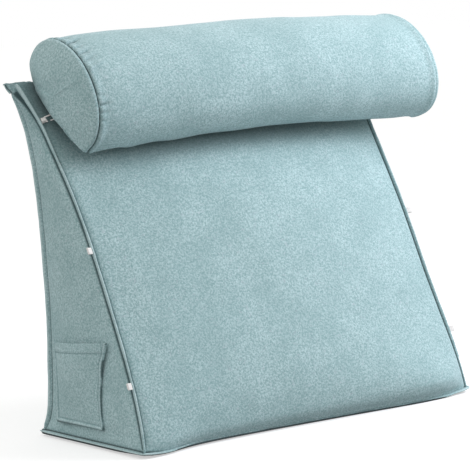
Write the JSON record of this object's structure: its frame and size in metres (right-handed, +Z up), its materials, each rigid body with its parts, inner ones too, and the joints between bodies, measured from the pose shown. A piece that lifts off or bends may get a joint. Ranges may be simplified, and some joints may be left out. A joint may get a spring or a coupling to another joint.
{
  "type": "triangular lumbar cushion",
  "caption": "Filled wedge backrest cushion with a sloping front, a neck roll hung on its upper front and a patch pocket on one side.",
  "frame": {"origin": "middle of the base, on the surface that the cushion stands on", "axes": "+Z up, -Y the way the sloping front faces, +X towards the side with no pocket"},
  "size_m": [0.7095, 0.3047, 0.57],
  "materials": {
    "cloth": "matt short-pile cloth",
    "base_cloth": "matt dark cloth",
    "ribbon": "smooth woven ribbon",
    "hook_plastic": "smooth"
  },
  "bodies": {
    "root": {"wedge_body": "cloth", "base_panel": "base_cloth", "seam_front_left": "cloth", "seam_front_right": "cloth", "seam_back_left": "cloth", "seam_back_right": "cloth", "seam_base": "cloth", "seam_top": "cloth", "side_pocket": "cloth", "loop_top_left": "ribbon", "loop_top_right": "ribbon", "loop_middle_left": "ribbon", "loop_middle_right": "ribbon", "loop_bottom_left": "ribbon", "loop_bottom_right": "ribbon", "hook_left": "hook_plastic", "hook_right": "hook_plastic", "strap_left": "cloth", "strap_right": "cloth", "neck_roll": "cloth"}
  },
  "joints": []
}
